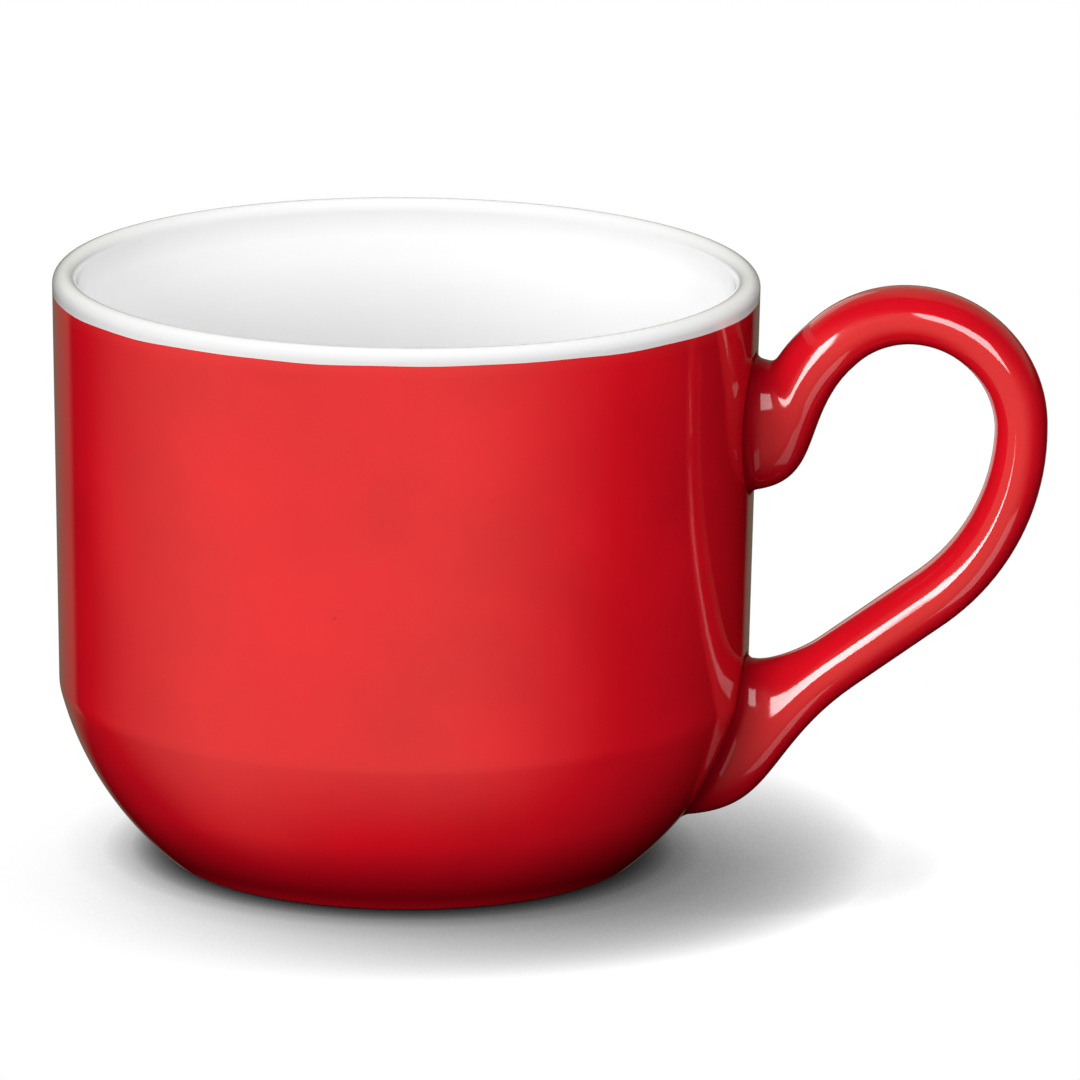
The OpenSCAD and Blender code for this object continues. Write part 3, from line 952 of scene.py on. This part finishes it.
def place_world(stage):
    """Even light from above, a white view behind the mug and, in its gloss, the soft boxes of a studio."""
    world = bpy.data.worlds.new("studio")
    bpy.context.scene.world = world
    world.use_nodes = True
    tree = world.node_tree
    tree.nodes.clear()
    out = add_node(tree, "ShaderNodeOutputWorld")
    room = add_node(tree, "ShaderNodeBackground")
    room.inputs["Color"].default_value = (1, 1, 1, 1)
    studio = add_node(tree, "ShaderNodeBackground")
    studio.inputs["Color"].default_value = (1, 0.98, 0.72, 1)
    path = add_node(tree, "ShaderNodeLightPath")
    place = add_node(tree, "ShaderNodeTexCoord")
    turned = add_node(tree, "ShaderNodeMapping")
    turned.inputs["Rotation"].default_value = (0, 0, -stage.camera_turn)
    tree.links.new(place.outputs["Generated"], turned.inputs["Vector"])
    parts = add_node(tree, "ShaderNodeSeparateXYZ")
    tree.links.new(turned.outputs[0], parts.inputs[0])

    toward = calc(tree, "MULTIPLY", parts.outputs["Y"], -1)
    heading = calc(tree, "DEGREES", calc(tree, "ARCTAN2", parts.outputs["X"], toward))
    rise = calc(tree, "DEGREES", calc(tree, "ARCSINE", parts.outputs["Z"]))
    group = soft_box_group()

    def soft_box(left, right, side_edge, low, high, level_edge, strength):
        node = add_node(tree, "ShaderNodeGroup", node_tree=group)
        tree.links.new(heading, node.inputs["Heading"])
        tree.links.new(rise, node.inputs["Rise"])
        limits = {"Left": left, "Right": right, "Low": low, "High": high}
        limits.update({"Side Edge": side_edge, "Level Edge": level_edge})
        for key, value in limits.items():
            node.inputs[key].default_value = value
        return calc(tree, "MULTIPLY", node.outputs["Mask"], strength)

    boxes = [
        soft_box(left=-190, right=-143, side_edge=6, low=-22, high=100, level_edge=6, strength=0.14),
        soft_box(left=157, right=190, side_edge=6, low=-20, high=100, level_edge=6, strength=0.13),
        soft_box(left=-95, right=44, side_edge=72, low=-52, high=20, level_edge=50, strength=0.92),
        soft_box(left=-195, right=-110, side_edge=40, low=10, high=100, level_edge=14, strength=0.35),
        soft_box(left=110, right=195, side_edge=40, low=10, high=100, level_edge=14, strength=0.35),
    ]
    gloss = boxes[0]
    for box in boxes[1:]:
        gloss = calc(tree, "ADD", gloss, box)
    tree.links.new(gloss, studio.inputs["Strength"])
    above = soft_box(
        left=-400, right=400, side_edge=1, low=-4, high=100, level_edge=30, strength=stage.room_light
    )
    level = add_node(tree, "ShaderNodeMix")
    tree.links.new(path.outputs["Is Camera Ray"], level.inputs["Factor"])
    tree.links.new(above, level.inputs["A"])
    level.inputs["B"].default_value = 1
    tree.links.new(level.outputs["Result"], room.inputs["Strength"])
    either = add_node(tree, "ShaderNodeMixShader")
    tree.links.new(path.outputs["Is Glossy Ray"], either.inputs[0])
    tree.links.new(room.outputs[0], either.inputs[1])
    tree.links.new(studio.outputs[0], either.inputs[2])
    tree.links.new(either.outputs[0], out.inputs["Surface"])


def place_lamps(stage):
    """Lamps for the mug, for its glazes one by one, and the boxes that only the handle's gloss mirrors."""

    def lamp(name, watts, heading, rise, **more):
        place_lamp(name, stage.camera_turn, watts, heading, rise, **more)

    cup = {"piece": "outer_glaze_coat", "distance": 1.2}
    liner = {"piece": "liner_glaze_coat", "distance": 1.3}
    handle = {"piece": "handle_glaze_coat", "distance": 1.2}
    mirrored = {"piece": "handle_glaze_coat", "distance": 1.5, "gloss": True}
    lamp("key_lamp", stage.key_power, -19, 14, distance=1.2, width=0.7, height=0.5)
    lamp("side_lamp", stage.side_power, 72, 6, distance=1.2, width=0.5, height=0.5)
    lamp("far_lamp", stage.far_power, 178, 12, width=0.8, height=0.5, **cup)
    lamp("edge_lamp", stage.edge_power, -112, 4, width=0.4, height=0.5, **cup)
    lamp("liner_lamp", stage.liner_power, 97, 55, width=0.9, height=0.9, **liner)
    lamp("lip_lamp", stage.lip_power, -100, 45, width=0.9, height=0.9, **liner)
    lamp("rim_lamp", stage.rim_power, 150, 25, width=0.4, height=0.6, **handle)
    lamp("arm_box", stage.arm_box_power, -27.5, 0.5, width=0.72, height=0.17, spin=-56, **mirrored)
    lamp("loop_box", stage.loop_box_power, 8.5, 20, width=0.95, height=0.53, **mirrored)
    lamp("card_box", stage.card_box_power, 46, -42, width=0.62, height=0.66, **mirrored)
    lamp("back_box", stage.back_box_power, -151, 5, width=0.95, height=2.3, **mirrored)


class MUG_OT_stage(bpy.types.Operator):
    """Camera, floor, lamps and studio round the mug"""

    bl_idname = "mug.stage"
    bl_label = "Stage"

    def execute(self, context):
        stage = context.scene.soup_mug.stage
        place_camera(stage)
        place_floor(stage)
        place_lamps(stage)
        place_world(stage)
        context.scene.view_settings.view_transform = "Standard"
        return {"FINISHED"}


class MUG_PT_sidebar(bpy.types.Panel):
    """Builds the mug piece by piece"""

    bl_idname = "MUG_PT_sidebar"
    bl_label = "Soup mug"
    bl_space_type = "VIEW_3D"
    bl_region_type = "UI"
    bl_category = "Mug"

    def draw(self, context):
        mug = context.scene.soup_mug
        groups = {"Cup": mug.cup, "Handle": mug.handle, "Glaze": mug.glaze, "Stage": mug.stage}
        for title, settings in groups.items():
            box = self.layout.box()
            box.label(text=title)
            for name in settings.__annotations__:
                box.prop(settings, name)
        for operator in OPERATORS:
            self.layout.operator(operator.bl_idname)


SETTINGS = (MugCupSettings, MugHandleSettings, MugGlazeSettings, MugStageSettings, MugSettings)
OPERATORS = (
    MUG_OT_liner_glaze,
    MUG_OT_outer_glaze,
    MUG_OT_handle_glaze,
    MUG_OT_base_glaze,
    MUG_OT_clay,
    MUG_OT_stage,
)


def register():
    for kind in (*SETTINGS, *OPERATORS, MUG_PT_sidebar):
        bpy.utils.register_class(kind)
    bpy.types.Scene.soup_mug = PointerProperty(type=MugSettings)


def unregister():
    del bpy.types.Scene.soup_mug
    for kind in reversed((*SETTINGS, *OPERATORS, MUG_PT_sidebar)):
        bpy.utils.unregister_class(kind)


def main():
    register()
    bpy.ops.mug.liner_glaze()
    bpy.ops.mug.outer_glaze()
    bpy.ops.mug.handle_glaze()
    bpy.ops.mug.base_glaze()
    bpy.ops.mug.clay()
    bpy.ops.mug.stage()


if __name__ == "__main__":
    main()
